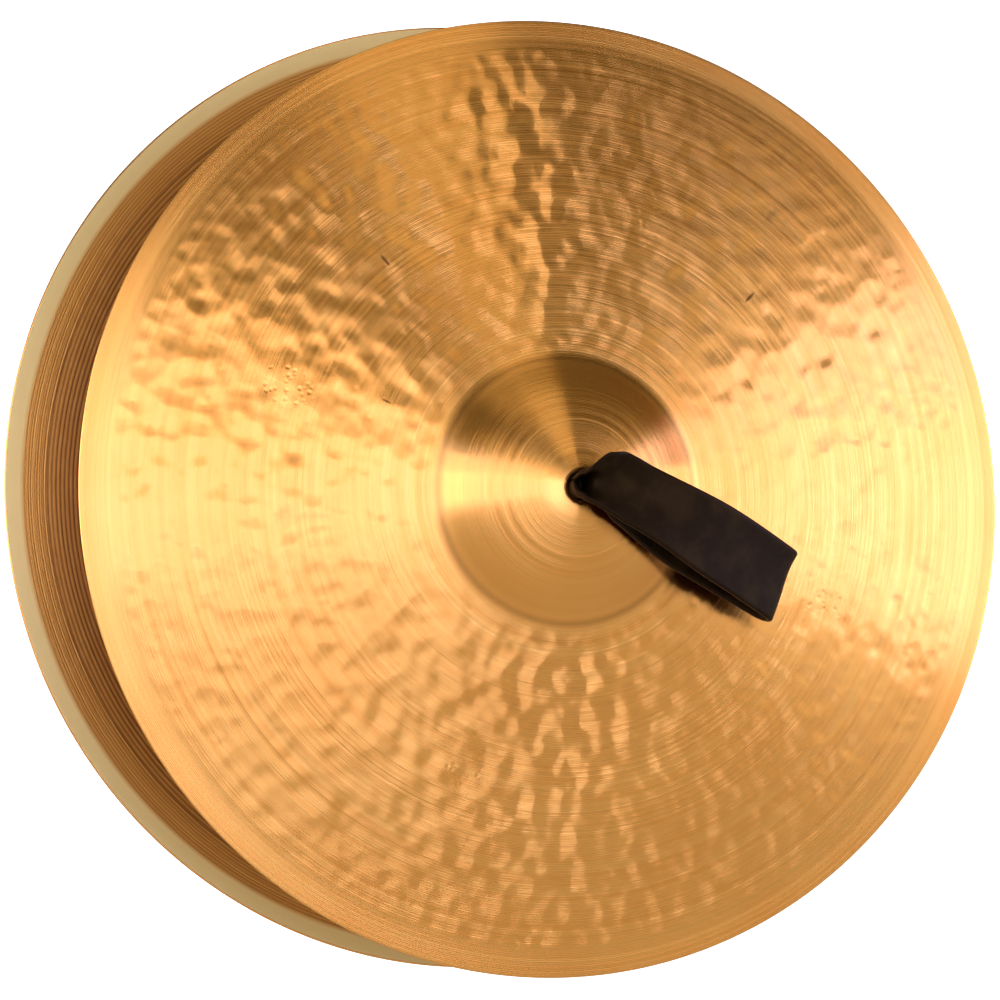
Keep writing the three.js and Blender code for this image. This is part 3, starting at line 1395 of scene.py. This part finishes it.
@dataclass
class Studio:
    """A plain pale studio: floor, white wall all round, soft light and the camera."""

    floor_height: float = -0.50
    sides: int = 96
    floor_shade: tuple = (0.88, 0.86, 0.72, 1.0)  # cream, which looks neutral under cool light
    wall_radius: float = 7.0
    wall_height: float = 2.3
    air: float = 0.15
    air_tint: tuple = (1.0, 0.93, 0.68, 1.0)
    wall_glow: float = 1.15
    camera_azimuth: float = -17.2
    camera_elevation: float = -5.4
    camera_distance: float = 3.0
    lens: float = 238.2
    aim_right: float = -2.5 * MM
    aim_up: float = -2.0 * MM

    def build(self) -> None:
        """Makes the floor, the wall, the lights and the camera."""
        scene = bpy.context.scene
        scene.view_settings.view_transform = "Standard"
        scene.view_settings.look = "None"
        self._world()
        self._paper()
        self._lights()
        self._camera()

    def _world(self) -> None:
        """An even dim surround."""
        world = bpy.data.worlds.new("studio air")
        world.use_nodes = True
        world.node_tree.nodes.clear()
        graph = Graph(world.node_tree)
        glow = graph.node(
            "ShaderNodeBackground", None, {"Color": self.air_tint, "Strength": self.air}
        )
        graph.node("ShaderNodeOutputWorld", None, {"Surface": glow})
        bpy.context.scene.world = world

    def _paper(self) -> None:
        """The floor and the low wall that closes it all round."""
        floor = self._ring("studio_floor", [(0.0, 0.0), (self.wall_radius, 0.0)])
        floor_paper = PaperFinish(shade=self.floor_shade)
        floor.data.materials.append(floor_paper.material("floor paper"))
        wall = self._ring(
            "studio_wall",
            [(self.wall_radius, 0.0), (self.wall_radius, self.wall_height)],
        )
        wall.data.materials.append(PaperFinish(glow=self.wall_glow).material("wall paper"))

    def _ring(self, name: str, profile: Sequence[tuple[float, float]]) -> bpy.types.Object:
        """A turned surface round the vertical through the origin.

        Args:
            name: The object's name.
            profile: Its radius and its height over the floor at each end.

        Returns:
            The object.
        """
        count = self.sides
        verts, faces = [], []
        for radius, height in profile:
            for k in range(count):
                turn = 2 * math.pi * k / count
                verts.append(
                    (radius * math.cos(turn), radius * math.sin(turn), self.floor_height + height)
                )
        for k in range(count):
            after = (k + 1) % count
            faces.append((k, after, count + after, count + k))
        mesh = bpy.data.meshes.new(name)
        mesh.from_pydata(verts, [], faces)
        mesh.shade_smooth()
        ring = bpy.data.objects.new(name, mesh)
        bpy.context.scene.collection.objects.link(ring)
        return ring

    def _lights(self) -> None:
        """The soft boxes round the pair."""
        cool, cold = (0.87, 0.99, 1.8), (0.86, 0.98, 2.2)
        plain, warm = (1.0, 1.0, 1.0), (1.0, 0.95, 0.8)
        boxes = (
            SoftBox("left_side", (-106, -74), (-9, 26), 3.7, 2.2, plain),
            SoftBox("far_left_panel", (-70, -28), (-9, 26), 3.7, 1.08, cool),
            SoftBox("left_panel_low", (-28, -14), (-9, 9), 3.6, 0.65, cool),
            SoftBox("left_panel_high", (-28, -14), (9, 26), 3.6, 1.0, plain),
            SoftBox("middle_panel_low", (-14, 0), (-9, 9), 3.6, 1.0, cool),
            SoftBox("middle_panel_high", (-14, 0), (9, 26), 3.6, 0.52, plain),
            SoftBox("middle_band", (0, 16), (-9, 9), 3.6, 1.6, cool),
            SoftBox("upper_slot", (0, 15), (26, 50), 3.6, 0.7, warm),
            SoftBox("right_panel", (32, 50), (-9, 26), 3.6, 0.52, plain),
            SoftBox("far_right_panel", (50, 76), (-9, 25), 3.7, 2.2, cold),
            SoftBox("top_panel", (-40, 0), (52, 78), 3.6, 0.3, warm),
            SoftBox("back_left", (190, 238), (-9, 26), 3.6, 1.2, plain),
            SoftBox("back_right", (118, 160), (-9, 26), 3.6, 0.7, plain),
        )
        for box in boxes:
            box.build()

    def _camera(self) -> None:
        """The camera, level and a little below the middle of the pair."""
        data = bpy.data.cameras.new("camera")
        data.lens = self.lens
        camera = bpy.data.objects.new("camera", data)
        back = direction(self.camera_azimuth, self.camera_elevation)
        turn = back.to_track_quat("Z", "Y")
        right, up = turn @ Vector((1, 0, 0)), turn @ Vector((0, 1, 0))
        camera.location = (
            back * self.camera_distance + right * self.aim_right + up * self.aim_up
        )
        camera.rotation_mode = "QUATERNION"
        camera.rotation_quaternion = turn
        bpy.context.scene.collection.objects.link(camera)
        bpy.context.scene.camera = camera


def direction(azimuth: float, elevation: float) -> Vector:
    """The way from the pair to a point round it; azimuth 0 is in front, at -Y."""
    a, e = math.radians(azimuth), math.radians(elevation)
    return Vector((math.sin(a) * math.cos(e), -math.cos(a) * math.cos(e), math.sin(e)))


# --------------------------------------------------------------------------- the pair


def main() -> None:
    """Builds the studio and both cymbals, and reports each piece."""
    Studio().build()
    leather = LeatherFinish().material("strap leather")
    for side in Side:
        place = Placement.of(side)
        plate = CymbalPlate(side, place).build()
        log.info("%s: %d faces", plate.name, len(plate.data.polygons))
        strap = Strap(side, place, leather).build()
        log.info("%s: %d faces", strap.name, len(strap.data.polygons))
        for thong in Knot(side, place, leather).build():
            log.info("%s: %d faces", thong.name, len(thong.data.polygons))


if __name__ == "__main__":
    logging.basicConfig(level=logging.INFO, format="%(name)s: %(message)s")
    main()
